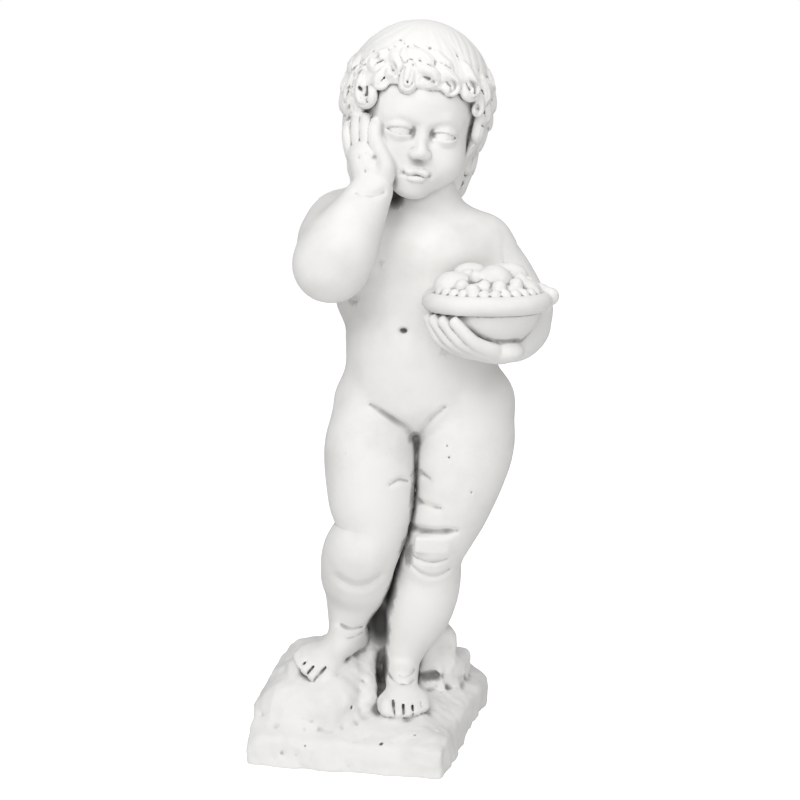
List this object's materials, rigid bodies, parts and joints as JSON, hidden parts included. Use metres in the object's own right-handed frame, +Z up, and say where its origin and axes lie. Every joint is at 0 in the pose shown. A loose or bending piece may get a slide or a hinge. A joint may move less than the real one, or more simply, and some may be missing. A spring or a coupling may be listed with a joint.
{
  "type": "cherub garden statue",
  "caption": "Cast stone garden statue of a plump child on a rough rock, one hand raised to the ear and one arm round a bowl of fruit.",
  "frame": {"origin": "on the ground under the middle of the statue's bounding box", "axes": "+Z up; the child faces -Y, and +X is on the viewer's right"},
  "size_m": [0.293, 0.2656, 0.7],
  "materials": {
    "cast_stone": "matt near-white cast stone with a fine grain and grey weathering left in the hollows"
  },
  "bodies": {
    "root": {"statue": "cast_stone"}
  },
  "joints": []
}
